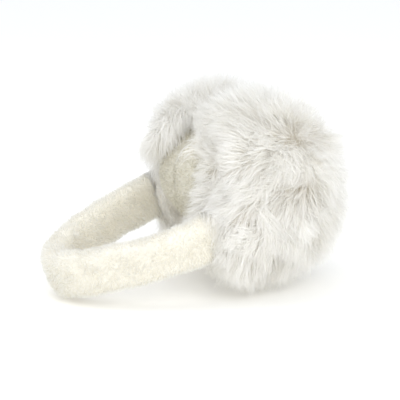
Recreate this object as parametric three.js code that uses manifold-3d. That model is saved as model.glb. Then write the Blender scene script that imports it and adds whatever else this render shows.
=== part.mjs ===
// Fur earmuffs lying on a table: a plush headband in an open C, and two long-haired muffs
// that its spring presses together, each with a plush ear pad on its inner side.
// Millimetres, +Z up. +X runs from the crown of the band to the muffs, +Y is the left side.
// The origin lies on the table, under the middle of the whole. Run: node part.mjs

import * as THREE from 'three';
import { mergeVertices } from 'three/addons/utils/BufferGeometryUtils.js';
import Module from 'manifold-3d';

// Headband: its centre line lies in a plane that dips towards the crown.
const CROWN_X = -83.4;            // where the centre line crosses the middle, at the crown
const CROWN_Z = 14.85;            // its height there, so that the lower edge meets the table
const BAND_REACH = 84;            // crown to the widest place, along the band's own plane
const BAND_HALF_SPAN = 52;        // middle to one arm's centre line at the widest place
const BAND_PINCH = 0.21;          // how much narrower than an ellipse the crown end is
const BAND_TILT = THREE.MathUtils.degToRad(19);
const BAND_END = THREE.MathUtils.degToRad(118);  // turn of the line from crown to arm's end
const BAND_WIDTH = 29.5;
const BAND_THICKNESS = 18;
const BAND_ROUNDNESS = 3;         // exponent of the section, 2 is an ellipse
const BAND_STEPS = 48;
const BAND_SIDES = 20;

// Ear pads: round cushions that meet at the middle of the object, wider there than at the back.
const PAD_X = 21;                 // centre of both pads, along the object
const PAD_Z = 66;
const PAD_RADIUS = 35;
const PAD_TAPER = 6;              // how much narrower the back is
const PAD_RIM = 8;                // how far the rounded rim stands out from the flat faces
const PAD_ROUNDNESS = 3;
const PAD_GAP = 0.4;              // left free beside the middle and beside the muff
const PAD_RINGS = 9;

// Fur muffs: the outer form of the long hair, a dome on a cup that holds the pad.
const MUFF_BASE_Y = 30;           // where the pad's back lies against the muff, at its centre
const MUFF_LEAN = Math.tan(THREE.MathUtils.degToRad(5));  // muffs close towards the far end
const MUFF_X = 40.9;              // centre of the hair's outline
const MUFF_Z = 60;
const MUFF_HALF_LENGTH = 53.4;    // half the outline along X
const MUFF_HALF_HEIGHT = 62.5;     // half the outline along Z, before the table flattens it
const MUFF_DEPTH = 44;            // from the pad's back out to the tips of the hair
const MUFF_ROUNDNESS = 2.05;
const MUFF_DOME_RINGS = 9;
const MUFF_RIM_RINGS = 4;
const MUFF_RIM_TAPER = 0.15;      // how much the outline draws in at the inner rim
const MUFF_INNER_Y = 1.5;         // where the inner rim ends beside the middle
const MUFF_OPEN_RIM = 0.06;       // how much of the rim's reach is left where the band comes in
const CUP_FLOOR_RADIUS = 30.5;
const CUP_MOUTH_RADIUS = 37.5;
const ROUND_STEPS = 52;           // around pads and muffs

const POCKET_GAP = 0.4;           // around the arm's end inside its muff
const TABLE_SIZE = 600;

const PLUSH = { color: 0xf6f1e2, roughness: 0.95, metalness: 0 };
const PAD_PLUSH = { color: 0xd8d4c2, roughness: 0.95, metalness: 0 };
const FUR = { color: 0xf1ede5, roughness: 0.9, metalness: 0 };

const wasm = await Module();
wasm.setup();

/** Power that keeps the sign, for superellipses. */
function signedPower(value, power) {
  return Math.sign(value) * Math.abs(value) ** power;
}

/** A closed three.js geometry as a solid that can be cut. */
function toSolid(geometry) {
  const bare = geometry.clone();
  bare.deleteAttribute('normal');
  bare.deleteAttribute('uv');
  const welded = mergeVertices(bare);
  return new wasm.Manifold(new wasm.Mesh({
    numProp: 3,
    vertProperties: new Float32Array(welded.attributes.position.array),
    triVerts: new Uint32Array(welded.index.array),
  }));
}

/** A cut solid as a three.js geometry. */
function toGeometry(solid) {
  const mesh = solid.getMesh();
  const geometry = new THREE.BufferGeometry();
  geometry.setAttribute('position', new THREE.BufferAttribute(mesh.vertProperties, 3));
  geometry.setIndex(new THREE.BufferAttribute(mesh.triVerts, 1));
  return geometry;
}

/** The same closed geometry on the other side of the middle. */
function mirrored(geometry) {
  const copy = geometry.clone().applyMatrix4(new THREE.Matrix4().makeScale(1, -1, 1));
  const index = copy.index.array;
  for (let i = 0; i < index.length; i += 3) {
    [index[i + 1], index[i + 2]] = [index[i + 2], index[i + 1]];
  }
  return copy;
}

/** A closed skin from one point, over rings of equal count, to another point. */
function loft(first, rings, last) {
  const points = [first, ...rings.flat(), last];
  const count = rings[0].length;
  const index = [];
  for (let j = 0; j < count; j += 1) {
    const next = (j + 1) % count;
    index.push(0, 1 + next, 1 + j);
    for (let i = 0; i + 1 < rings.length; i += 1) {
      const a = 1 + i * count + j;
      const b = 1 + i * count + next;
      index.push(a, b, a + count, b, b + count, a + count);
    }
    const end = 1 + (rings.length - 1) * count;
    index.push(points.length - 1, end + j, end + next);
  }
  return new THREE.BufferGeometry().setFromPoints(points).setIndex(index);
}

/** Points for every angle around an ear, from +X over +Z. */
function ringAround(place) {
  return Array.from({ length: ROUND_STEPS }, (_, i) => place((2 * Math.PI * i) / ROUND_STEPS));
}

/** The band's centre line in its own plane, arm's end to arm's end. */
class BandLine extends THREE.Curve {
  constructor(endAngle) {
    super();
    this.endAngle = endAngle;
  }

  getPoint(t, target = new THREE.Vector3()) {
    const turn = (2 * t - 1) * this.endAngle;
    const pinch = 1 - BAND_PINCH * Math.cos(turn) ** 2;
    return target.set(
      BAND_REACH * (1 - Math.cos(turn)),
      BAND_HALF_SPAN * Math.sin(turn) * pinch,
      0,
    );
  }
}

/** The headband, or with a gap the room that it needs. */
function bandGeometry(gap) {
  const section = Array.from({ length: BAND_SIDES }, (_, i) => {
    const angle = (2 * Math.PI * i) / BAND_SIDES;
    return new THREE.Vector2(
      (BAND_WIDTH / 2 + gap) * signedPower(Math.cos(angle), 2 / BAND_ROUNDNESS),
      (BAND_THICKNESS / 2 + gap) * signedPower(Math.sin(angle), 2 / BAND_ROUNDNESS),
    );
  });
  return new THREE.ExtrudeGeometry(new THREE.Shape(section), {
    steps: BAND_STEPS,
    extrudePath: new BandLine(BAND_END + gap / BAND_REACH),
    bevelEnabled: false,
  }).rotateY(-BAND_TILT).translate(CROWN_X, 0, CROWN_Z);
}

/** Distance from the middle to the plane between pad and muff. */
function baseY(x) {
  return MUFF_BASE_Y - (x - PAD_X) * MUFF_LEAN;
}

/** The left ear pad, flat against its muff and against the other pad. */
function padGeometry() {
  const place = (radius, inward, angle) => {
    const x = PAD_X + radius * Math.cos(angle);
    const back = baseY(x) - PAD_GAP;
    const y = THREE.MathUtils.lerp(back, PAD_GAP, inward);
    return new THREE.Vector3(x, y, PAD_Z + radius * Math.sin(angle));
  };
  const rings = Array.from({ length: PAD_RINGS }, (_, i) => {
    const turn = -Math.PI / 2 + (Math.PI * i) / (PAD_RINGS - 1);
    const rim = PAD_RIM * signedPower(Math.cos(turn), 2 / PAD_ROUNDNESS);
    const inward = 0.5 + 0.5 * signedPower(Math.sin(turn), 2 / PAD_ROUNDNESS);
    const flat = PAD_RADIUS - PAD_RIM - PAD_TAPER * (1 - inward);
    return ringAround((angle) => place(flat + rim, inward, angle));
  });
  return loft(place(0, 0, 0), rings, place(0, 1, 0));
}

/** How far the hair's inner rim reaches to the middle: all round but where the band comes in. */
function rimReach(angle) {
  const open = THREE.MathUtils.smoothstep(-Math.cos(angle), 0.4, 0.95);
  return THREE.MathUtils.lerp(1, MUFF_OPEN_RIM, open);
}

/** The left muff: dome, rim, cup for the pad, pocket for the arm, and flat where it rests. */
function muffGeometry() {
  const outline = (angle, scale) => [
    MUFF_X + MUFF_HALF_LENGTH * scale * Math.cos(angle),
    MUFF_Z + MUFF_HALF_HEIGHT * scale * Math.sin(angle),
  ];
  const rimY = (x, reach) => THREE.MathUtils.lerp(baseY(x), MUFF_INNER_Y, reach);
  const rings = [];
  for (let i = 1; i <= MUFF_DOME_RINGS; i += 1) {
    const turn = (Math.PI / 2) * (1 - i / MUFF_DOME_RINGS);
    const scale = Math.cos(turn) ** (2 / MUFF_ROUNDNESS);
    const depth = MUFF_DEPTH * Math.sin(turn) ** (2 / MUFF_ROUNDNESS);
    rings.push(ringAround((angle) => {
      const [x, z] = outline(angle, scale);
      return new THREE.Vector3(x, baseY(x) + depth, z);
    }));
  }
  for (let i = 1; i <= MUFF_RIM_RINGS; i += 1) {
    rings.push(ringAround((angle) => {
      const reach = (i / MUFF_RIM_RINGS) * rimReach(angle);
      const [x, z] = outline(angle, 1 - MUFF_RIM_TAPER * reach ** 3);
      return new THREE.Vector3(x, rimY(x, reach), z);
    }));
  }
  for (const inward of [1, 0]) {
    rings.push(ringAround((angle) => {
      const reach = inward * rimReach(angle);
      const radius = THREE.MathUtils.lerp(CUP_FLOOR_RADIUS, CUP_MOUTH_RADIUS, reach);
      const x = PAD_X + radius * Math.cos(angle);
      return new THREE.Vector3(x, rimY(x, reach), PAD_Z + radius * Math.sin(angle));
    }));
  }
  const top = new THREE.Vector3(MUFF_X, baseY(MUFF_X) + MUFF_DEPTH, MUFF_Z);
  const bottom = new THREE.Vector3(PAD_X, baseY(PAD_X), PAD_Z);
  const table = new THREE.BoxGeometry(TABLE_SIZE, TABLE_SIZE, TABLE_SIZE)
    .translate(0, 0, -TABLE_SIZE / 2);
  const solid = toSolid(loft(top, rings, bottom))
    .subtract(toSolid(bandGeometry(POCKET_GAP)))
    .subtract(toSolid(table));
  return toGeometry(solid);
}

/** A named piece with its own material. */
function piece(name, geometry, look) {
  const mesh = new THREE.Mesh(geometry, new THREE.MeshStandardMaterial(look));
  mesh.name = name;
  return mesh;
}

const pad = padGeometry();
const muff = muffGeometry();
const earmuffs = new THREE.Group();
earmuffs.add(
  piece('headband', bandGeometry(0), PLUSH),
  piece('ear_pad_left', pad, PAD_PLUSH),
  piece('ear_pad_right', mirrored(pad), PAD_PLUSH),
  piece('fur_muff_left', muff, FUR),
  piece('fur_muff_right', mirrored(muff), FUR),
);

export default earmuffs;
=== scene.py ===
"""Looks of a pair of long-haired fur earmuffs on a plush headband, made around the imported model.

Lengths are in metres. Everything on a muff is worked out on the left side, where +Y points away
from the middle, and mirrored for the right one.
"""

import logging
import math
from dataclasses import dataclass, field
from enum import Enum

import bpy
import numpy as np
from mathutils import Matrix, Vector
from mathutils.kdtree import KDTree


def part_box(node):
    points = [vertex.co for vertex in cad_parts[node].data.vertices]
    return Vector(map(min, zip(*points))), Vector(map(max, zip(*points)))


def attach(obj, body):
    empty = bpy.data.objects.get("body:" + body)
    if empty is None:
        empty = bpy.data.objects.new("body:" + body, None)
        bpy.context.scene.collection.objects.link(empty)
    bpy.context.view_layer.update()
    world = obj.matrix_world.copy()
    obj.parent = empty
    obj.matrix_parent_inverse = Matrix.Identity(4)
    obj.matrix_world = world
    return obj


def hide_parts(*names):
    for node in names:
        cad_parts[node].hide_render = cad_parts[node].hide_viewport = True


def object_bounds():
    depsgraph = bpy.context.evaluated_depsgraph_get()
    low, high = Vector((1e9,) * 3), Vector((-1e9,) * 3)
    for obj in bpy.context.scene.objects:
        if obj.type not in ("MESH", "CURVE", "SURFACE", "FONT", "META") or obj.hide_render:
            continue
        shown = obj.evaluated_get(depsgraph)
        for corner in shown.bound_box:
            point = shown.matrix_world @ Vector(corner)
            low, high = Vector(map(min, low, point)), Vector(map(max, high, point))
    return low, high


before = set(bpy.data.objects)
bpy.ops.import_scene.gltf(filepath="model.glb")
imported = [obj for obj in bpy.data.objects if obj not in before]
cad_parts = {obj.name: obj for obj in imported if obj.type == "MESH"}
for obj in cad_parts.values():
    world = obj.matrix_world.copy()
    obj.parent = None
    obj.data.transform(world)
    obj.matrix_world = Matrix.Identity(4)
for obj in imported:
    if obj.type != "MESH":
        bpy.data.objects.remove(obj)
cad_low, cad_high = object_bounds()

MM = 0.001
ROOT = "root"
STRAND_MAP = "OFBake"
TINT_STRIPE = 0.004  # half of the width that a hair takes up in the map
log = logging.getLogger("earmuffs")


class Side(Enum):
    """The two sides of the object, by the sign of Y."""

    LEFT = 1
    RIGHT = -1


def unit(vectors: np.ndarray) -> np.ndarray:
    """Vectors of length one along the last axis."""
    return vectors / np.maximum(np.linalg.norm(vectors, axis=-1, keepdims=True), 1e-12)


def smoothstep(low: float, high: float, values: np.ndarray) -> np.ndarray:
    """A soft ramp from 0 at low to 1 at high."""
    t = np.clip((values - low) / (high - low), 0.0, 1.0)
    return t * t * (3.0 - 2.0 * t)


def mix(a: np.ndarray, b: np.ndarray, share: np.ndarray) -> np.ndarray:
    """Goes from a to b as share goes from 0 to 1."""
    return a + (b - a) * share


def signed_power(values: np.ndarray, power: float) -> np.ndarray:
    """A power that keeps the sign, for superellipses."""
    return np.sign(values) * np.abs(values) ** power


def bulge(turn: np.ndarray, middle: float, spread: float, height: float) -> np.ndarray:
    """A smooth hump of this height around one turn, in degrees."""
    return height * np.exp(-(((turn - middle) / spread) ** 2))


def around(steps: int) -> np.ndarray:
    """Evenly spaced angles of one turn, in radians."""
    return np.linspace(0.0, 2.0 * math.pi, steps, endpoint=False)


def to_array(corner: Vector) -> np.ndarray:
    """A corner of a box as an array."""
    return np.array(corner, float)


@dataclass
class Waves:
    """A smooth random field made of a few plane waves, the same on every run.

    Args:
        rng: source of the waves' directions and phases.
        size: about the distance from crest to crest.
        count: number of waves.
    """

    rng: np.random.Generator
    size: float
    count: int = 14
    directions: np.ndarray = field(init=False)
    phases: np.ndarray = field(init=False)

    def __post_init__(self) -> None:
        """Draws the waves."""
        spread = self.rng.uniform(0.7, 1.4, (self.count, 1))
        self.directions = unit(self.rng.normal(size=(self.count, 3))) * spread
        self.directions *= 2.0 * math.pi / self.size
        self.phases = self.rng.uniform(0.0, 2.0 * math.pi, self.count)

    def at(self, points: np.ndarray) -> np.ndarray:
        """Values of about -1 to 1 at these points."""
        waves = np.sin(points @ self.directions.T + self.phases)
        return waves.sum(-1) * math.sqrt(2.0 / self.count) * 0.6


@dataclass
class Swirl:
    """A smooth random field of directions.

    Args:
        rng: source of the randomness.
        size: about the distance over which the direction changes.
    """

    rng: np.random.Generator
    size: float
    waves: list[Waves] = field(init=False)

    def __post_init__(self) -> None:
        """Draws the three parts."""
        self.waves = [Waves(self.rng, self.size) for _ in range(3)]

    def __call__(self, points: np.ndarray) -> np.ndarray:
        """A direction for each point."""
        return np.stack([wave.at(points) for wave in self.waves], -1)


@dataclass
class Surface:
    """A closed skin of triangles that hair can grow on.

    Args:
        vertices: points, one row each.
        triangles: rows of three vertex numbers, with the faces pointing out.
    """

    vertices: np.ndarray
    triangles: np.ndarray

    @classmethod
    def loft(cls, first: np.ndarray, rings: list[np.ndarray], last: np.ndarray) -> "Surface":
        """A closed skin from one point over rings of equal count to another point.

        Args:
            first: the point that closes the first ring.
            rings: arrays of points, each ring turning the same way.
            last: the point that closes the last ring.

        Returns:
            The skin, turned so that its faces point out.
        """
        count = len(rings[0])
        vertices = np.vstack([first[None], *rings, last[None]])
        here = np.arange(count)
        after = (here + 1) % count
        parts = [np.stack([np.zeros(count, int), 1 + after, 1 + here], 1)]
        for i in range(len(rings) - 1):
            a, b = 1 + i * count + here, 1 + i * count + after
            parts.append(np.stack([a, b, a + count], 1))
            parts.append(np.stack([b, b + count, a + count], 1))
        end = 1 + (len(rings) - 1) * count
        parts.append(np.stack([np.full(count, len(vertices) - 1), end + here, end + after], 1))
        skin = cls(vertices, np.vstack(parts))
        return skin if skin.volume() > 0 else cls(vertices, skin.triangles[:, ::-1])

    def volume(self) -> float:
        """Signed volume, positive when the faces point out."""
        a, b, c = (self.vertices[self.triangles[:, i]] for i in range(3))
        return float((a * np.cross(b, c)).sum() / 6.0)

    def normals(self) -> np.ndarray:
        """A smooth normal for each vertex."""
        a, b, c = (self.vertices[self.triangles[:, i]] for i in range(3))
        faces = np.cross(b - a, c - a)
        total = np.zeros_like(self.vertices)
        for i in range(3):
            np.add.at(total, self.triangles[:, i], faces)
        return unit(total)

    def scatter(
        self, count: int, rng: np.random.Generator, density: np.ndarray | None = None
    ) -> tuple[np.ndarray, np.ndarray]:
        """Spreads points evenly over the skin.

        Args:
            count: how many points.
            rng: source of the random places.
            density: a weight for each vertex, or None for the same everywhere.

        Returns:
            The points and their smooth normals.
        """
        a, b, c = (self.vertices[self.triangles[:, i]] for i in range(3))
        share = np.linalg.norm(np.cross(b - a, c - a), axis=1)
        if density is not None:
            share = share * density[self.triangles].mean(1)
        total = np.cumsum(share) / share.sum()
        chosen = np.searchsorted(total, (np.arange(count) + rng.random(count)) / count)
        chosen = np.minimum(chosen, len(self.triangles) - 1)
        u, v = np.sqrt(rng.random(count)), rng.random(count)
        weights = np.stack([1.0 - u, u * (1.0 - v), u * v], 1)[:, :, None]
        corners = self.triangles[chosen]
        points = (self.vertices[corners] * weights).sum(1)
        normals = unit((self.normals()[corners] * weights).sum(1))
        order = rng.permutation(count)
        return points[order], normals[order]

    def mirrored(self, side: Side) -> "Surface":
        """This skin on the given side of the middle."""
        if side is Side.LEFT:
            return self
        return Surface(self.vertices * (1.0, -1.0, 1.0), self.triangles[:, ::-1])

    def to_object(self, name: str, material: bpy.types.Material) -> bpy.types.Object:
        """A smooth mesh object of this skin."""
        mesh = bpy.data.meshes.new(name)
        mesh.from_pydata(self.vertices.tolist(), [], self.triangles.tolist())
        mesh.polygons.foreach_set("use_smooth", np.ones(len(mesh.polygons), bool))
        mesh.materials.append(material)
        made = bpy.data.objects.new(name, mesh)
        bpy.context.scene.collection.objects.link(made)
        return made


@dataclass
class Tufts:
    """Patches of hair that each lean their own way.

    Args:
        places: the middles of the patches.
        rng: source of the patches' directions.
        blur: how far the borders between patches are smeared.
    """

    places: np.ndarray
    rng: np.random.Generator
    blur: float
    leans: np.ndarray = field(init=False)
    tree: KDTree = field(init=False)

    def __post_init__(self) -> None:
        """Draws the directions."""
        self.leans = self.rng.normal(size=self.places.shape)
        self.tree = KDTree(len(self.places))
        for i, place in enumerate(self.places):
            self.tree.insert(place, i)
        self.tree.balance()

    def __call__(self, points: np.ndarray) -> np.ndarray:
        """The lean of the patch that each point belongs to."""
        smeared = points + self.blur * self.rng.normal(size=points.shape)
        return self.leans[[self.tree.find(point)[1] for point in smeared]]


@dataclass
class Strands:
    """Hairs as lines of points, from root to tip.

    Args:
        lines: points, by hair and step.
        outward: the direction that each hair's flat side faces.
        width: each hair's width at its widest.
        tint: each hair's place on the finish's range of tints, from 0 to 1.
    """

    lines: np.ndarray
    outward: np.ndarray
    width: np.ndarray
    tint: np.ndarray

    @classmethod
    def grow(
        cls,
        roots: np.ndarray,
        start: np.ndarray,
        end: np.ndarray,
        length: np.ndarray,
        steps: int,
        outward: np.ndarray,
    ) -> "Strands":
        """Grows hairs that leave in one direction and lean over to another.

        Args:
            roots: where the hairs start.
            start: direction at the root.
            end: direction at the tip.
            length: each hair's length.
            steps: pieces that each hair is made of.
            outward: the direction that each hair's flat side faces.

        Returns:
            The hairs, with no width or tint yet.
        """
        lines = [roots]
        for k in range(steps):
            share = ((k + 0.5) / steps) ** 0.8
            heading = unit(mix(start, end, share))
            lines.append(lines[-1] + heading * (length / steps)[:, None])
        count = len(roots)
        return cls(np.stack(lines, 1), outward, np.zeros(count), np.zeros(count))

    def along(self) -> np.ndarray:
        """How far along the hair each point is, from 0 to 1."""
        return np.linspace(0.0, 1.0, self.lines.shape[1])

    def gather(self, guides: "Strands", strength: np.ndarray, power: float) -> None:
        """Draws the hairs' tips to the nearest guide hair, so that they form locks.

        Args:
            guides: hairs that lead a lock.
            strength: share of the way that each tip goes, by hair.
            power: how late along the hair the pull sets in.
        """
        places = self.along() * (guides.lines.shape[1] - 1)
        before = np.minimum(places.astype(int), guides.lines.shape[1] - 2)
        share = (places - before)[None, :, None]
        leaders = mix(guides.lines[:, before], guides.lines[:, before + 1], share)
        tree = KDTree(len(guides.lines))
        for i, root in enumerate(guides.lines[:, 0]):
            tree.insert(root, i)
        tree.balance()
        nearest = np.array([tree.find(root)[1] for root in self.lines[:, 0]])
        pull = (strength[:, None] * self.along()[None] ** power)[:, :, None]
        self.lines += (leaders[nearest] - self.lines) * pull

    def ripple(self, rng: np.random.Generator, size: float, turns: float) -> None:
        """Gives each hair a slight wave of its own across its length."""
        count = len(self.lines)
        across = unit(np.cross(self.lines[:, -1] - self.lines[:, 0], rng.normal(size=(count, 3))))
        phase = rng.uniform(0.0, 2.0 * math.pi, (count, 1))
        along = self.along()[None]
        wave = np.sin(2.0 * math.pi * turns * along + phase) - np.sin(phase)
        self.lines += across[:, None] * (wave * along * size)[:, :, None]

    def mirror(self, side: Side) -> None:
        """Moves the hairs to the given side of the middle."""
        if side is Side.RIGHT:
            self.lines = self.lines * (1.0, -1.0, 1.0)
            self.outward = self.outward * (1.0, -1.0, 1.0)

    def to_object(self, name: str, material: bpy.types.Material) -> bpy.types.Object:
        """One mesh of thin tapered ribbons, mapped by tint across and by length along.

        Args:
            name: the object's name.
            material: the finish, which reads the map.

        Returns:
            The object.
        """
        count, points = self.lines.shape[:2]
        steps = points - 1
        heading = unit(np.gradient(self.lines, axis=1))
        across = unit(np.cross(heading, self.outward[:, None]))
        along = self.along()
        taper = (1.0 - along) ** 0.55 * (0.7 + 0.3 * smoothstep(0.0, 0.3, along))
        half = across * (self.width[:, None] * taper[None] / 2.0)[:, :, None]
        verts = np.empty((count, 2 * steps + 1, 3))
        verts[:, 0:-1:2] = (self.lines - half)[:, :-1]
        verts[:, 1:-1:2] = (self.lines + half)[:, :-1]
        verts[:, -1] = self.lines[:, -1]
        rows = np.arange(steps - 1)[:, None] * 2
        loops = np.concatenate([(rows + (0, 1, 3, 2)).ravel(), 2 * steps + np.array([-2, -1, 0])])
        sizes = np.array([4] * (steps - 1) + [3])
        starts = np.concatenate([[0], np.cumsum(sizes)[:-1]])
        mesh = bpy.data.meshes.new(name)
        mesh.vertices.add(verts.shape[0] * verts.shape[1])
        mesh.vertices.foreach_set("co", verts.ravel().astype(np.float32))
        mesh.loops.add(count * len(loops))
        numbers = loops[None] + np.arange(count)[:, None] * verts.shape[1]
        mesh.loops.foreach_set("vertex_index", numbers.ravel().astype(np.int32))
        mesh.polygons.add(count * steps)
        places = starts[None] + np.arange(count)[:, None] * len(loops)
        mesh.polygons.foreach_set("loop_start", places.ravel().astype(np.int32))
        mesh.polygons.foreach_set("use_smooth", np.ones(count * steps, bool))
        sideways = np.where(loops % 2 == 0, -1.0, 1.0) * TINT_STRIPE
        sideways[-1] = 0.0
        lengthways = np.clip(along[loops // 2], 0.01, 0.99)
        stripes = np.clip(self.tint, 0.02, 0.98)[:, None] + sideways[None]
        corners = np.stack([stripes, np.broadcast_to(lengthways, stripes.shape)], -1)
        chart = mesh.uv_layers.new(name=STRAND_MAP)
        chart.data.foreach_set("uv", corners.ravel().astype(np.float32))
        mesh.update(calc_edges=True)
        mesh.materials.append(material)
        made = bpy.data.objects.new(name, mesh)
        bpy.context.scene.collection.objects.link(made)
        return made


@dataclass
class NodeSheet:
    """A short hand for building one material's nodes."""

    name: str
    material: bpy.types.Material = field(init=False)

    def __post_init__(self) -> None:
        """Makes an empty node material."""
        self.material = bpy.data.materials.new(self.name)
        self.material.use_nodes = True
        self.material.node_tree.nodes.clear()

    def add(self, kind: str, **settings: object) -> bpy.types.Node:
        """A new node with these properties."""
        node = self.material.node_tree.nodes.new(kind)
        for key, value in settings.items():
            setattr(node, key, value)
        return node

    def link(self, source: bpy.types.NodeSocket, target: bpy.types.NodeSocket) -> None:
        """Joins two sockets."""
        self.material.node_tree.links.new(source, target)

    def ramp(
        self, source: bpy.types.NodeSocket, stops: tuple[tuple[float, tuple[float, ...]], ...]
    ) -> bpy.types.NodeSocket:
        """A colour ramp over a value."""
        node = self.add("ShaderNodeValToRGB")
        elements = node.color_ramp.elements
        while len(elements) < len(stops):
            elements.new(0.5)
        for element, (place, colour) in zip(elements, stops):
            element.position = place
            element.color = (*colour, 1.0)
        self.link(source, node.inputs["Fac"])
        return node.outputs["Color"]

    def multiply(self, a: bpy.types.NodeSocket, b: bpy.types.NodeSocket) -> bpy.types.NodeSocket:
        """The product of two colours."""
        node = self.add("ShaderNodeMix", data_type="RGBA", blend_type="MULTIPLY")
        node.inputs["Factor"].default_value = 1.0
        self.link(a, node.inputs["A"])
        self.link(b, node.inputs["B"])
        return node.outputs["Result"]


Colour = tuple[float, float, float]


@dataclass(frozen=True)
class HairFinish:
    """How hair or pile takes the light, from root to tip and from hair to hair.

    Args:
        name: the material's name.
        root, middle, tip: colours along a hair.
        dark, light: factors for the darkest and the lightest hairs.
        through: share of the light that passes through a hair.
        roughness, sheen: how softly it shines.
    """

    name: str
    root: Colour
    middle: Colour
    tip: Colour
    dark: Colour
    light: Colour
    through: float
    roughness: float
    sheen: float

    def build(self) -> bpy.types.Material:
        """The material, which reads the hairs' own map."""
        sheet = NodeSheet(self.name)
        place = sheet.add("ShaderNodeUVMap", uv_map=STRAND_MAP)
        parts = sheet.add("ShaderNodeSeparateXYZ")
        sheet.link(place.outputs["UV"], parts.inputs["Vector"])
        along = sheet.ramp(
            parts.outputs["Y"], ((0.0, self.root), (0.45, self.middle), (1.0, self.tip))
        )
        kinds = sheet.ramp(parts.outputs["X"], ((0.0, self.dark), (0.5, (1, 1, 1)), (1.0, self.light)))
        colour = sheet.multiply(along, kinds)
        skin = sheet.add("ShaderNodeBsdfPrincipled")
        skin.inputs["Roughness"].default_value = self.roughness
        skin.inputs["Sheen Weight"].default_value = self.sheen
        skin.inputs["Specular IOR Level"].default_value = 0.25
        glow = sheet.add("ShaderNodeBsdfTranslucent")
        both = sheet.add("ShaderNodeMixShader")
        both.inputs["Fac"].default_value = self.through
        end = sheet.add("ShaderNodeOutputMaterial")
        sheet.link(colour, skin.inputs["Base Color"])
        sheet.link(colour, glow.inputs["Color"])
        sheet.link(skin.outputs["BSDF"], both.inputs[1])
        sheet.link(glow.outputs["BSDF"], both.inputs[2])
        sheet.link(both.outputs["Shader"], end.inputs["Surface"])
        return sheet.material


@dataclass(frozen=True)
class FeltFinish:
    """The matted underwool that shows between the hairs.

    Args:
        name: the material's name.
        pale, deep: the two colours that its mottling goes between.
        grain: size of the mottling.
        height: depth of the bump.
    """

    name: str
    pale: Colour
    deep: Colour
    grain: float
    height: float

    def build(self) -> bpy.types.Material:
        """The material, from noise on the piece's own coordinates."""
        sheet = NodeSheet(self.name)
        place = sheet.add("ShaderNodeTexCoord")
        noise = sheet.add("ShaderNodeTexNoise")
        noise.inputs["Scale"].default_value = 1.0 / self.grain
        noise.inputs["Detail"].default_value = 5.0
        sheet.link(place.outputs["Object"], noise.inputs["Vector"])
        colour = sheet.ramp(noise.outputs["Fac"], ((0.3, self.deep), (0.7, self.pale)))
        bump = sheet.add("ShaderNodeBump")
        bump.inputs["Strength"].default_value = 0.8
        bump.inputs["Distance"].default_value = self.height
        sheet.link(noise.outputs["Fac"], bump.inputs["Height"])
        skin = sheet.add("ShaderNodeBsdfPrincipled")
        skin.inputs["Roughness"].default_value = 0.9
        skin.inputs["Specular IOR Level"].default_value = 0.15
        skin.inputs["Sheen Weight"].default_value = 0.2
        end = sheet.add("ShaderNodeOutputMaterial")
        sheet.link(colour, skin.inputs["Base Color"])
        sheet.link(bump.outputs["Normal"], skin.inputs["Normal"])
        sheet.link(skin.outputs["BSDF"], end.inputs["Surface"])
        return sheet.material


LONG_FUR = HairFinish(
    "long_fur_hair",
    root=(0.92, 0.905, 0.87),
    middle=(0.95, 0.943, 0.92),
    tip=(0.97, 0.967, 0.955),
    dark=(0.90, 0.89, 0.86),
    light=(1.03, 1.03, 1.03),
    through=0.45,
    roughness=0.55,
    sheen=0.15,
)
UNDER_FUR = HairFinish(
    "under_fur_hair",
    root=(0.92, 0.90, 0.86),
    middle=(0.945, 0.935, 0.91),
    tip=(0.96, 0.955, 0.94),
    dark=(0.91, 0.90, 0.87),
    light=(1.03, 1.03, 1.03),
    through=0.45,
    roughness=0.7,
    sheen=0.1,
)
BAND_PILE = HairFinish(
    "band_plush_pile",
    root=(0.88, 0.85, 0.77),
    middle=(0.90, 0.89, 0.85),
    tip=(0.915, 0.915, 0.90),
    dark=(0.96, 0.95, 0.93),
    light=(1.02, 1.02, 1.02),
    through=0.45,
    roughness=0.8,
    sheen=0.2,
)
# The pads are the same cream plush as the headband; these darker, browner colours paint in the shade
# that falls on the pads between the muffs.
PAD_PILE_PAINTED_SHADE = HairFinish(
    "pad_plush_pile",
    root=(0.68, 0.65, 0.56),
    middle=(0.78, 0.76, 0.68),
    tip=(0.84, 0.82, 0.75),
    dark=(0.94, 0.93, 0.90),
    light=(1.02, 1.02, 1.02),
    through=0.25,
    roughness=0.8,
    sheen=0.2,
)
FUR_FELT = FeltFinish("fur_underwool", (0.94, 0.92, 0.88), (0.88, 0.85, 0.79), 3 * MM, 0.8 * MM)
BAND_FELT = FeltFinish("band_plush_ground", (0.89, 0.87, 0.80), (0.83, 0.80, 0.72), 1.6 * MM, 0.4 * MM)
# The ground under the pad's pile: the headband's plush ground made darker and browner to paint in the
# shade on the pads.
PAD_FELT_PAINTED_SHADE = FeltFinish("pad_plush_ground_painted_shade", (0.76, 0.73, 0.64), (0.68, 0.65, 0.55), 1.4 * MM, 0.4 * MM)


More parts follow.
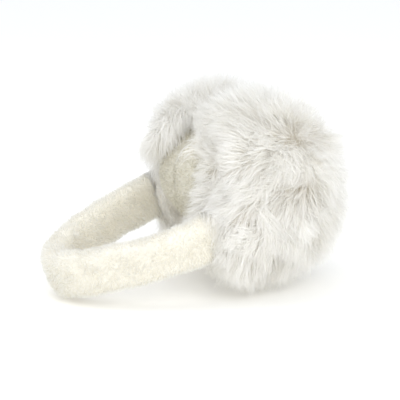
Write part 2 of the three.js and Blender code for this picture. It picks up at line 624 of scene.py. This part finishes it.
@dataclass
class Headband:
    """The plush sleeve over the spring, an open C that dips towards the crown.

    Args:
        reach: from the crown to the widest place, along the band's own plane.
        half_span: from the middle to one arm's centre line at the widest place.
        pinch: how much narrower than an ellipse the crown end is.
        tilt: dip of the band's plane towards the crown, in radians.
        end_angle: turn of the centre line from the crown to an arm's end, in radians.
        width, thickness: the section, over the pile.
        roundness: exponent of the section, where 2 is an ellipse.
        press: how much the near arm's upper edge is pressed down, as a share of the width.
        pile: length of the plush.
        hairs: number of tufts of pile.
    """

    reach: float = 84 * MM
    half_span: float = 52 * MM
    pinch: float = 0.21
    tilt: float = math.radians(19)
    end_angle: float = math.radians(118)
    width: float = 29.5 * MM
    thickness: float = 18 * MM
    roundness: float = 3.0
    press: float = 0.09
    pile: float = 2.9 * MM
    hairs: int = 63000
    seed: int = 11

    def centre_line(self, steps: int) -> tuple[np.ndarray, np.ndarray, np.ndarray]:
        """Points of the centre line, with the directions across it.

        Args:
            steps: number of stretches.

        Returns:
            The points, the outward directions and the direction of the band's width.
        """
        turn = np.linspace(-self.end_angle, self.end_angle, steps + 1)
        flat_x = self.reach * (1.0 - np.cos(turn))
        flat_y = self.half_span * np.sin(turn) * (1.0 - self.pinch * np.cos(turn) ** 2)
        slope_x, slope_y = np.gradient(flat_x), np.gradient(flat_y)
        ahead = (math.cos(self.tilt), math.sin(self.tilt))
        upward = (-ahead[1], ahead[0])
        points = np.stack([flat_x * ahead[0], flat_y, flat_x * ahead[1]], 1)
        outward = unit(np.stack([-slope_y * ahead[0], slope_x, -slope_y * ahead[1]], 1))
        outward *= np.sign((outward * points).sum(1) - outward[:, 0] * self.reach)[:, None]
        widthways = np.array([upward[0], 0.0, upward[1]])
        low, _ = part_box("headband")
        lowest = points - np.abs(outward) * self.thickness / 2 - np.abs(widthways) * self.width / 2
        shift = np.array([low.x - lowest[:, 0].min(), 0.0, low.z - lowest[:, 2].min()])
        return points + shift, outward, widthways

    def sleeve(self) -> Surface:
        """The sleeve under the pile, with soft gathers."""
        points, outward, widthways = self.centre_line(150)
        angles = around(40)
        inset = 0.7 * self.pile
        thick = (self.thickness / 2 - inset) * signed_power(np.sin(angles), 2 / self.roundness)
        wide = (self.width / 2 - inset) * signed_power(np.cos(angles), 2 / self.roundness)
        press = self.width * self.press * smoothstep(0.1, 0.8, -points[:, 1] / self.half_span)
        upper = smoothstep(0.0, 1.0, wide / (self.width / 2))
        rings = [
            point + thick[:, None] * out[None] + (wide - by * upper)[:, None] * widthways[None]
            for point, out, by in zip(points, outward, press)
        ]
        skin = Surface.loft(points[0], rings, points[-1])
        rng = np.random.default_rng(self.seed)
        puff = Waves(rng, 22 * MM).at(skin.vertices) * 0.7 * MM
        puff += Waves(rng, 7 * MM).at(skin.vertices) * 0.25 * MM
        skin.vertices = skin.vertices + skin.normals() * puff[:, None]
        return skin

    def push_out(self, lines: np.ndarray) -> np.ndarray:
        """Moves points that lie inside an arm to its surface.

        Args:
            lines: points in rows, on the left side.

        Returns:
            The points, moved.
        """
        points, outward, widthways = self.centre_line(60)
        half = len(points) // 2
        points, outward = points[half:], outward[half:]
        flat = lines.reshape(-1, 3)
        nearest = np.zeros(len(flat), int)
        best = np.full(len(flat), np.inf)
        for i, point in enumerate(points):
            away = ((flat - point) ** 2).sum(1)
            closer = away < best
            nearest[closer], best[closer] = i, away[closer]
        offset = flat - points[nearest]
        thick = (offset * outward[nearest]).sum(1)
        wide = offset @ widthways
        n = self.roundness
        fill = (np.abs(thick) / (self.thickness / 2)) ** n + (np.abs(wide) / (self.width / 2)) ** n
        grow = np.where(fill < 1.0, np.maximum(fill, 1e-3) ** (-1.0 / n) - 1.0, 0.0)
        ends = best < (self.width * 0.8) ** 2
        moved = thick[:, None] * outward[nearest] + wide[:, None] * widthways[None]
        flat = flat + moved * (grow * ends)[:, None]
        return flat.reshape(lines.shape)

    def build(self) -> list[bpy.types.Object]:
        """The sleeve and its pile."""
        rng = np.random.default_rng(self.seed)
        skin = self.sleeve()
        roots, normals = skin.scatter(self.hairs, rng)
        points, _, _ = self.centre_line(60)
        along = unit(np.gradient(points, axis=0))
        closest = np.argmin(((roots[:, None] - points[None]) ** 2).sum(-1), 1)
        sweep = Waves(rng, 18 * MM).at(roots)[:, None] * along[closest]
        swirl = Swirl(rng, 9 * MM)(roots)
        rough = 0.3 + 0.7 * smoothstep(-20 * MM, -65 * MM, roots[:, :1])
        lean = normals + 0.3 * sweep + 0.35 * rough * swirl + 0.13 * rng.normal(size=roots.shape)
        start = unit(lean)
        end = unit(lean + 0.3 * sweep + (0.0, 0.0, -0.5))
        length = self.pile * rng.uniform(0.75, 1.15, len(roots))
        pile = Strands.grow(roots - normals * 0.3 * MM, start, end, length, 2, normals)
        tufts, tuft_normals = skin.scatter(self.hairs // 12, rng)
        under = smoothstep(0.1, -0.7, tuft_normals[:, 2:])
        rough = 0.3 + 0.7 * np.maximum(smoothstep(-20 * MM, -65 * MM, tufts[:, :1]), under)
        swirl = 0.55 * rough * rng.normal(size=tufts.shape) + under * (0.0, 0.0, -0.5)
        tuft_length = np.full(len(tufts), self.pile)
        lean = unit(tuft_normals + swirl)
        guides = Strands.grow(tufts, lean, lean, tuft_length, 2, tuft_normals)
        pile.gather(guides, rng.uniform(0.1, 0.55, len(roots)), 1.4)
        pile.outward = unit(normals + 0.3 * rng.normal(size=roots.shape))
        pile.width = 0.38 * MM * rng.uniform(0.7, 1.2, len(roots))
        pile.tint = 0.5 + 0.2 * Waves(rng, 16 * MM).at(roots) + 0.08 * rng.normal(size=len(roots))
        sleeve = skin.to_object("headband_sleeve", BAND_FELT.build())
        plush = pile.to_object("headband_pile", BAND_PILE.build())
        for piece in (sleeve, plush):
            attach(piece, ROOT)
        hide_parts("headband")
        return [sleeve, plush]


@dataclass
class EarPad:
    """A short-piled round cushion that meets the other one at the middle.

    Args:
        side: which ear.
        rim: how far the rounded rim stands out from the flat faces.
        taper: how much narrower the back is.
        roundness: exponent of the rim's section.
        pile: length of the plush.
        hairs: number of tufts of pile.
    """

    side: Side
    rim: float = 8 * MM
    taper: float = 6 * MM
    roundness: float = 3.0
    pile: float = 2.4 * MM
    hairs: int = 16000
    seed: int = 23

    @property
    def node(self) -> str:
        """The solid that the pad stands for."""
        return f"ear_pad_{self.side.name.lower()}"

    def cushion(self) -> Surface:
        """The stuffed cushion under the pile, on the left side."""
        low, high = (to_array(c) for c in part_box("ear_pad_left"))
        centre = (low + high) / 2
        radius = (high[2] - low[2]) / 2 - 0.6 * self.pile
        back, face = high[1] - 0.6 * self.pile, low[1] + 0.4 * self.pile
        angles = around(72)
        rings = []
        for turn in np.linspace(-math.pi / 2, math.pi / 2, 19):
            inward = 0.5 + 0.5 * float(signed_power(np.sin(turn), 2 / self.roundness))
            bulge = self.rim * float(signed_power(np.cos(turn), 2 / self.roundness))
            at = radius - self.rim - self.taper * (1.0 - inward) + bulge
            y = mix(back, face, inward)
            ring = np.stack([at * np.cos(angles), np.full(72, 0.0), at * np.sin(angles)], 1)
            rings.append(ring + (centre[0], y, centre[2]))
        first = np.array([centre[0], back, centre[2]])
        skin = Surface.loft(first, rings, np.array([centre[0], face, centre[2]]))
        puff = Waves(np.random.default_rng(self.seed), 15 * MM).at(skin.vertices) * 0.5 * MM
        skin.vertices = skin.vertices + skin.normals() * puff[:, None]
        return skin

    def build(self) -> list[bpy.types.Object]:
        """The cushion and its pile."""
        rng = np.random.default_rng(self.seed + self.side.value)
        skin = self.cushion()
        roots, normals = skin.scatter(self.hairs, rng)
        swirl = Swirl(rng, 8 * MM)(roots)
        lean = unit(normals + 0.4 * swirl + 0.3 * rng.normal(size=roots.shape))
        length = self.pile * rng.uniform(0.7, 1.1, len(roots))
        pile = Strands.grow(roots - normals * 0.3 * MM, lean, lean, length, 2, normals)
        pile.outward = unit(normals + 0.9 * rng.normal(size=roots.shape))
        pile.width = 0.45 * MM * rng.uniform(0.7, 1.2, len(roots))
        pile.tint = 0.5 + 0.15 * Waves(rng, 12 * MM).at(roots) + 0.15 * rng.normal(size=len(roots))
        pile.mirror(self.side)
        # Both of the pad's finishes are darkened to paint in the shade on the pads.
        cushion = skin.mirrored(self.side).to_object(f"{self.node}_cushion", PAD_FELT_PAINTED_SHADE.build())
        plush = pile.to_object(f"{self.node}_pile", PAD_PILE_PAINTED_SHADE.build())
        for piece in (cushion, plush):
            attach(piece, ROOT)
        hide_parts(self.node)
        return [cushion, plush]


@dataclass(frozen=True)
class Nap:
    """Which way the long hair of one muff lies.

    Args:
        parting: where on the dome the hair parts, from the middle, in radii along and up.
        fall: how much the hair beside the crown hangs down, where 0 is not at all and 1 is a lot.
        comb: which way the whole muff is brushed, along and up.
        cheek: how far the core bulges beside the crown, as a share of its radius.
        bare: how bare the fur is between the pad and the band's arm, from 0 to 1.
        trim: how much shorter the hair beside the crown is, from 0 to 1.
        low_trim: the same again for the hair round the band's arm, which is longer below 0.
        inward: how strongly the hair at the pad's edge leans in over the pad.
        shoulder: how far the core bulges over the band's arm, as a share of its radius.
        fringe: share of the hair that grows at the pad's upper crown edge.
        overlap: how far in over the pad that hair starts.
        wrap: how far the fur reaches in over the pad's edge, at the turns of WRAP_DEGREES.
    """

    parting: tuple[float, float]
    fall: float
    comb: tuple[float, float]
    cheek: float
    bare: float
    trim: float
    low_trim: float
    inward: float
    shoulder: float
    fringe: float
    overlap: float
    wrap: tuple[float, ...]


CORE_SIDES = 96
HAIR_CROSSING = 1.5 * MM  # how far hair may reach past the middle plane
HAIR_REACH = 4 * MM  # how far it may reach out of its outer form before it's held back
HAIR_HOLD = 0.65  # share by which it's then held back
FLOOR_GAP = 0.3 * MM  # the lowest that it lies over the table
FLOOR_SPREAD = 0.02  # share of its depth under the table that is kept as height, so hairs differ
# Places round a muff's core, in degrees from the chin side and up over the top.
TOP_CROWN_TURN = 133.0
CHEEK_TURN = 172.0
ARM_TURN = 213.0
LOW_CHIN_TURN = 326.0
WRAP_DEGREES = (0.0, 105.0, 135.0, 160.0, 190.0, 212.0, 245.0, 275.0, 360.0)


@dataclass
class FurMuff:
    """A padded dome covered in long hair.

    Args:
        side: which ear.
        nap: how the hair is brushed.
        band: the headband, whose arm the hair parts around.
        inset_crown, inset_chin, inset_top, inset_table: from the hair's outer form in to the core.
        depth: the core's depth, from the pad's back outward.
        lean: slope of the plane between pad and muff, as the muffs close towards the far end.
        length: the hair's length.
        guard_hairs, under_hairs: how many hairs of each kind.
        seed: start of the random draws, to which the side's value is added.
    """

    side: Side
    nap: Nap
    band: Headband
    inset_crown: float = 10.5 * MM
    inset_chin: float = 20 * MM
    inset_top: float = 19 * MM
    inset_table: float = 21 * MM
    depth: float = 31 * MM
    lean: float = math.tan(math.radians(5))
    length: float = 28 * MM
    guard_hairs: int = 21000
    under_hairs: int = 20000
    seed: int = 41

    def __post_init__(self) -> None:
        """Places the core inside the hair's outer form."""
        muff_low, muff_high = (to_array(c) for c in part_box("fur_muff_left"))
        pad_low, pad_high = (to_array(c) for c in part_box("ear_pad_left"))
        low = muff_low + (self.inset_crown, 0.0, self.inset_table)
        high = muff_high - (self.inset_chin, 0.0, self.inset_top)
        self.base_y = pad_high[1] - 1.0 * MM
        self.base_x = (pad_low[0] + pad_high[0]) / 2
        self.centre = (low + high) / 2 * (1.0, 0.0, 1.0)
        self.radii = (high - low) / 2

    @property
    def node(self) -> str:
        """The solid that the muff stands for."""
        return f"fur_muff_{self.side.name.lower()}"

    def base(self, x: np.ndarray) -> np.ndarray:
        """Distance from the middle to the plane between pad and muff."""
        return self.base_y - (x - self.base_x) * self.lean

    def core(self) -> Surface:
        """The padded core that the hair grows on, on the left side."""
        angles = around(CORE_SIDES)
        turn = np.abs((angles - math.radians(ARM_TURN) + math.pi) % (2 * math.pi) - math.pi)
        squareness = 2.1 + 3.0 * (1.0 - smoothstep(0.2, 0.7, turn))
        degrees = np.degrees(angles)
        wrap = np.interp(degrees, WRAP_DEGREES, self.nap.wrap)
        corner = 1.0 + bulge(degrees, TOP_CROWN_TURN, 22.0, 0.12)
        corner += bulge(degrees, ARM_TURN, 20.0, self.nap.shoulder)
        corner += bulge(degrees, LOW_CHIN_TURN, 24.0, 0.14)
        corner += bulge(degrees, CHEEK_TURN, 20.0, self.nap.cheek)
        direction = np.stack([np.cos(angles), np.sin(angles)], 1) * corner[:, None]

        def ring(scale: np.ndarray, height: np.ndarray) -> np.ndarray:
            """The outline at this share of its size and height over the base."""
            x = self.centre[0] + self.radii[0] * scale * direction[:, 0]
            z = self.centre[2] + self.radii[2] * scale * direction[:, 1]
            return np.stack([x, self.base(x) + height, z], 1)

        rings = []
        for up in np.linspace(math.pi / 2, 0.0, 25)[1:]:
            power = 2 / squareness
            rings.append(ring(np.cos(up) ** power, self.depth * np.sin(up) ** power))
        for reach in np.linspace(0.0, 1.0, 6)[1:]:
            rings.append(ring(1.0 - 0.04 * (reach * wrap) ** 2, -15 * MM * reach * wrap))
        rings.append(ring(np.full(CORE_SIDES, 0.82), -14 * MM * wrap))
        rings.append(ring(np.full(CORE_SIDES, 0.80), np.zeros(CORE_SIDES)))
        top = self.centre + (0.0, self.base(self.centre[0]) + self.depth, 0.0)
        back = self.centre + (0.0, self.base(self.centre[0]), 0.0)
        return Surface.loft(top, rings, back)

    def flow(self, roots: np.ndarray, normals: np.ndarray) -> tuple[np.ndarray, np.ndarray, np.ndarray]:
        """How the hair grows at these roots.

        Args:
            roots: points on the core.
            normals: the core's normals there.

        Returns:
            The direction at the root, the direction at the tip and the length.
        """
        nap = self.nap
        p = (roots[:, 0] - self.centre[0]) / self.radii[0]
        q = (roots[:, 2] - self.centre[2]) / self.radii[2]
        rim = smoothstep(0.6, 1.0, np.hypot(p, q))
        crown = smoothstep(0.35, 0.9, -p)
        height = roots[:, 1] - self.base(roots[:, 0])
        low = smoothstep(-0.2, 0.25, -q) * crown
        inner = smoothstep(0.0, 12 * MM, -height)
        splay = smoothstep(1 * MM, 18 * MM, height) * (nap.inward + 0.5) - nap.inward
        from_parting = np.stack([p - nap.parting[0], q - nap.parting[1]], 1)
        apart = smoothstep(0.15, 0.95, np.linalg.norm(from_parting, axis=1))
        radial = unit(from_parting)
        sideways = splay * crown * rim - 0.3 * rim * inner * (1.0 - crown)
        near = 1.0 - apart
        ahead, upward = radial[:, 0] * apart + 0.4 * near, radial[:, 1] * apart - 0.4 * near
        pull = np.stack([ahead, sideways, upward], 1) + (nap.comb[0], 0.0, nap.comb[1])
        pull = pull + 0.5 * self.swirl(roots) + 0.42 * self.tufts(roots)
        tangent = pull - (pull * normals).sum(1, keepdims=True) * normals
        unsure = 1.0 - smoothstep(0.1, 0.6, np.linalg.norm(tangent, axis=1))
        tangent = unit(tangent)
        unsure *= 1.0 - rim
        brim = rim * (1.0 - 0.85 * smoothstep(3 * MM, 15 * MM, height))
        lift = np.radians(30.0 + 36.0 * brim + 48.0 * unsure)
        settle = lift * mix(0.45, 0.8, np.maximum(rim, unsure))
        start = tangent * np.cos(lift)[:, None] + normals * np.sin(lift)[:, None]
        end = tangent * np.cos(settle)[:, None] + normals * np.sin(settle)[:, None]
        hang = nap.fall * crown * (1.0 - smoothstep(0.35, 0.8, q))
        end = end + np.stack([0.45 * hang, -0.2 * hang, -0.2 - 1.1 * hang], 1)
        turn = np.degrees(np.arctan2(q, p)) % 360.0
        by_arm = smoothstep(174.0, 190.0, turn) * (1.0 - smoothstep(232.0, 246.0, turn))
        bare = nap.bare * by_arm * (1.0 - smoothstep(12 * MM, 20 * MM, height)) * rim
        length = self.length * (1.0 - nap.trim * crown) * (1.0 - nap.low_trim * low) * (1.0 - bare)
        return unit(start), unit(end), length

    def edge(
        self, count: int, rng: np.random.Generator
    ) -> tuple[np.ndarray, np.ndarray, np.ndarray, np.ndarray]:
        """Hair that hangs over the pad's upper crown edge.

        Args:
            count: how many hairs.
            rng: source of the random places.

        Returns:
            The roots, the normals there, and the directions at root and tip.
        """
        pad_low, pad_high = (to_array(c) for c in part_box("ear_pad_left"))
        centre, radius = (pad_low + pad_high) / 2, (pad_high[2] - pad_low[2]) / 2
        turn = np.radians(rng.uniform(94.0, 150.0, count))
        normals = np.stack([np.cos(turn), 0.0 * turn, np.sin(turn)], 1)
        roots = centre + normals * (radius + rng.uniform(-1.5, 5.0, (count, 1)) * MM)
        roots[:, 1] = pad_high[1] - rng.uniform(0.0, self.nap.overlap, count)
        start = unit(normals * 0.6 + (0.0, -0.45, -0.3))
        end = unit(normals * 0.1 + (-0.1, -0.3, -1.0))
        return roots, normals, start, end

    def hairs(
        self,
        skin: Surface,
        count: int,
        steps: int,
        ruffle: float,
        share: float,
        rng: np.random.Generator,
    ) -> Strands:
        """Hairs brushed along the nap, each a little its own way.

        Args:
            skin: the core.
            count: how many.
            steps: pieces that each hair is made of.
            ruffle: how far a hair strays from the nap.
            share: length, as a share of the muff's.
            rng: source of the random places and directions.

        Returns:
            The hairs, on the left side.
        """
        density = np.ones(len(skin.vertices))
        density[-2 * CORE_SIDES - 1 :] = 0.0
        edge_count = int(count * self.nap.fringe)
        roots, normals = skin.scatter(count - edge_count, rng, density)
        start, end, length = self.flow(roots, normals)
        edge = self.edge(edge_count, rng)
        roots, normals, start, end = (
            np.vstack([a, b]) for a, b in zip((roots, normals, start, end), edge)
        )
        length = np.concatenate([length, rng.uniform(0.6, 1.1, edge_count) * self.length])
        stray = ruffle * rng.normal(size=(count, 3))
        start, end = unit(start + stray), unit(end + stray)
        length = length * share * rng.uniform(0.82, 1.12, count)
        return Strands.grow(roots, start, end, length, steps, normals)

    def settle(self, hairs: Strands) -> None:
        """Keeps hair out of the arm, near the outer form, off the other side and above the table."""
        lines = self.band.push_out(hairs.lines)
        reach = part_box("fur_muff_left")[1].y + HAIR_REACH
        lines[:, :, 1] = np.maximum(lines[:, :, 1], -HAIR_CROSSING)
        past = np.maximum(lines[:, :, 1] - reach, 0.0)
        lines[:, :, 1] -= HAIR_HOLD * past
        height = lines[:, :, 2]
        raised = FLOOR_GAP + FLOOR_SPREAD * np.abs(height)
        lines[:, :, 2] = np.where(height < FLOOR_GAP, raised, height)
        lines[:, 0] = hairs.lines[:, 0]
        hairs.lines = lines

    def build(self) -> list[bpy.types.Object]:
        """The core, the underwool and the long guard hair."""
        rng = np.random.default_rng(self.seed + self.side.value)
        skin = self.core()
        self.swirl = Swirl(rng, 26 * MM)
        self.tufts = Tufts(skin.scatter(420, rng)[0], rng, 0.8 * MM)
        locks = self.hairs(skin, 240, 5, 0.40, 1.0, rng)
        locks.ripple(rng, 4.0 * MM, 0.6)
        wisps = self.hairs(skin, 3400, 5, 0.25, 1.0, rng)
        wisps.ripple(rng, 1.5 * MM, 1.0)
        wisps.gather(locks, rng.uniform(0.3, 0.85, 3400), 1.0)
        made = []
        for kind, count, steps, share, width, clump, stray, finish in (
            ("guard", self.guard_hairs, 5, 1.0, 0.30 * MM, 0.95, 0.16, LONG_FUR),
            ("under", self.under_hairs, 4, 0.82, 0.5 * MM, 0.45, 0.3, UNDER_FUR),
        ):
            hair = self.hairs(skin, count, steps, stray, share, rng)
            hair.gather(wisps, rng.uniform(0.3 * clump, clump, count), 1.2)
            hair.ripple(rng, 0.7 * MM, 1.2)
            self.settle(hair)
            hair.outward = unit(hair.outward + 0.45 * rng.normal(size=(count, 3)))
            hair.width = width * rng.uniform(0.7, 1.25, count)
            patches = Waves(rng, 30 * MM).at(hair.lines[:, 0])
            hair.tint = 0.5 + 0.16 * patches + 0.17 * rng.normal(size=count)
            hair.mirror(self.side)
            made.append(hair.to_object(f"{self.node}_{kind}_hair", finish.build()))
        core = skin.mirrored(self.side).to_object(f"{self.node}_core", FUR_FELT.build())
        for piece in (core, *made):
            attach(piece, ROOT)
        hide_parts(self.node)
        return [core, *made]


@dataclass
class Studio:
    """A white table, soft lamps and the camera.

    Args:
        azimuth, elevation: where the camera stands round the object, in radians.
        distance: from the camera to the point that it looks at.
        rightward, upward: that point, from the middle of the object, across the view.
        lens: focal length in millimetres, for a sensor 36 mm wide.
    """

    azimuth: float = math.radians(-26)
    elevation: float = math.radians(11.5)
    distance: float = 0.85
    rightward: float = 8.4 * MM
    upward: float = -9.3 * MM
    lens: float = 127.5

    def view_axes(self) -> tuple[Vector, Vector, Vector]:
        """The camera's right, up and backward directions."""
        a, e = self.azimuth, self.elevation
        back = Vector((math.sin(a) * math.cos(e), -math.cos(a) * math.cos(e), math.sin(e)))
        right = Vector((math.cos(a), math.sin(a), 0.0))
        return right, back.cross(right), back

    def camera(self) -> bpy.types.Object:
        """The camera, which becomes the scene's."""
        right, up, back = self.view_axes()
        middle = (Vector(cad_low) + Vector(cad_high)) / 2
        aim = middle + right * self.rightward + up * self.upward
        data = bpy.data.cameras.new("camera")
        data.lens = self.lens
        data.sensor_width = 36.0
        data.clip_start, data.clip_end = 0.05, 50.0
        made = bpy.data.objects.new("camera", data)
        bpy.context.scene.collection.objects.link(made)
        made.location = aim + back * self.distance
        made.rotation_mode = "QUATERNION"
        made.rotation_quaternion = back.to_track_quat("Z", "Y")
        bpy.context.scene.camera = made
        return made

    def lamp(self, name: str, place: tuple[float, float, float], size: float, power: float) -> None:
        """A square soft box that faces the object."""
        data = bpy.data.lights.new(name, "AREA")
        data.size = size
        data.energy = power
        data.color = (1.0, 0.985, 0.96)
        made = bpy.data.objects.new(name, data)
        bpy.context.scene.collection.objects.link(made)
        made.location = place
        made.rotation_mode = "QUATERNION"
        aim = Vector((0.0, 0.0, 50 * MM))
        made.rotation_quaternion = (aim - Vector(place)).to_track_quat("-Z", "Y")

    def table(self) -> bpy.types.Object:
        """The plain white table."""
        half = 6.0
        mesh = bpy.data.meshes.new("table")
        corners = [(-half, -half, 0.0), (half, -half, 0.0), (half, half, 0.0), (-half, half, 0.0)]
        mesh.from_pydata(corners, [], [(0, 1, 2, 3)])
        sheet = NodeSheet("table_white")
        skin = sheet.add("ShaderNodeBsdfPrincipled")
        skin.inputs["Base Color"].default_value = (0.91, 0.905, 0.88, 1.0)
        skin.inputs["Roughness"].default_value = 0.9
        skin.inputs["Specular IOR Level"].default_value = 0.1
        skin.inputs["Emission Color"].default_value = (1.0, 0.99, 0.97, 1.0)
        skin.inputs["Emission Strength"].default_value = 0.12
        end = sheet.add("ShaderNodeOutputMaterial")
        sheet.link(skin.outputs["BSDF"], end.inputs["Surface"])
        mesh.materials.append(sheet.material)
        made = bpy.data.objects.new("table", mesh)
        bpy.context.scene.collection.objects.link(made)
        return made

    def build(self) -> None:
        """Sets up the view and the light."""
        self.camera()
        self.table()
        self.lamp("lamp_front", (-0.1, -1.2, 0.65), 1.0, 7.5)
        self.lamp("lamp_top", (-0.5, 0.2, 1.2), 0.8, 3.0)
        world = bpy.data.worlds.new("studio")
        world.use_nodes = True
        sky = world.node_tree.nodes["Background"]
        sky.inputs["Color"].default_value = (0.965, 0.995, 1.05, 1.0)
        sky.inputs["Strength"].default_value = 0.96
        scene = bpy.context.scene
        scene.world = world
        scene.view_settings.view_transform = "Standard"
        scene.cycles.max_bounces = 20
        scene.cycles.diffuse_bounces = 16


NEAR_NAP = Nap(
    parting=(0.75, 0.75),
    fall=0.15,
    comb=(-0.15, 0.0),
    cheek=-0.04,
    bare=0.0,
    trim=0.56,
    low_trim=-0.35,
    inward=0.4,
    shoulder=0.26,
    fringe=0.003,
    overlap=2 * MM,
    wrap=(1.0, 1.0, 0.8, 0.2, 0.1, 0.1, 0.0, 1.0, 1.0),
)
FAR_NAP = Nap(
    parting=(-0.1, 0.1),
    fall=1.2,
    comb=(0.0, 0.0),
    cheek=-0.1,
    bare=0.6,
    trim=0.4,
    low_trim=0.7,
    inward=0.9,
    shoulder=0.03,
    fringe=0.12,
    overlap=16 * MM,
    wrap=(1.0, 1.1, 1.4, 0.8, 0.2, 0.0, 0.0, 1.0, 1.0),
)


def main() -> None:
    """Builds the pieces in order and notes the sizes."""
    logging.basicConfig(level=logging.INFO, format="%(name)s: %(message)s")
    Studio().build()
    band = Headband()
    parts = [band, EarPad(Side.LEFT), EarPad(Side.RIGHT)]
    parts += [FurMuff(Side.LEFT, FAR_NAP, band), FurMuff(Side.RIGHT, NEAR_NAP, band)]
    for part in parts:
        for piece in part.build():
            mesh = piece.data
            triangles = sum(len(p.vertices) - 2 for p in mesh.polygons)
            log.info("%s has %d triangles", piece.name, triangles)


if __name__ == "__main__":
    main()
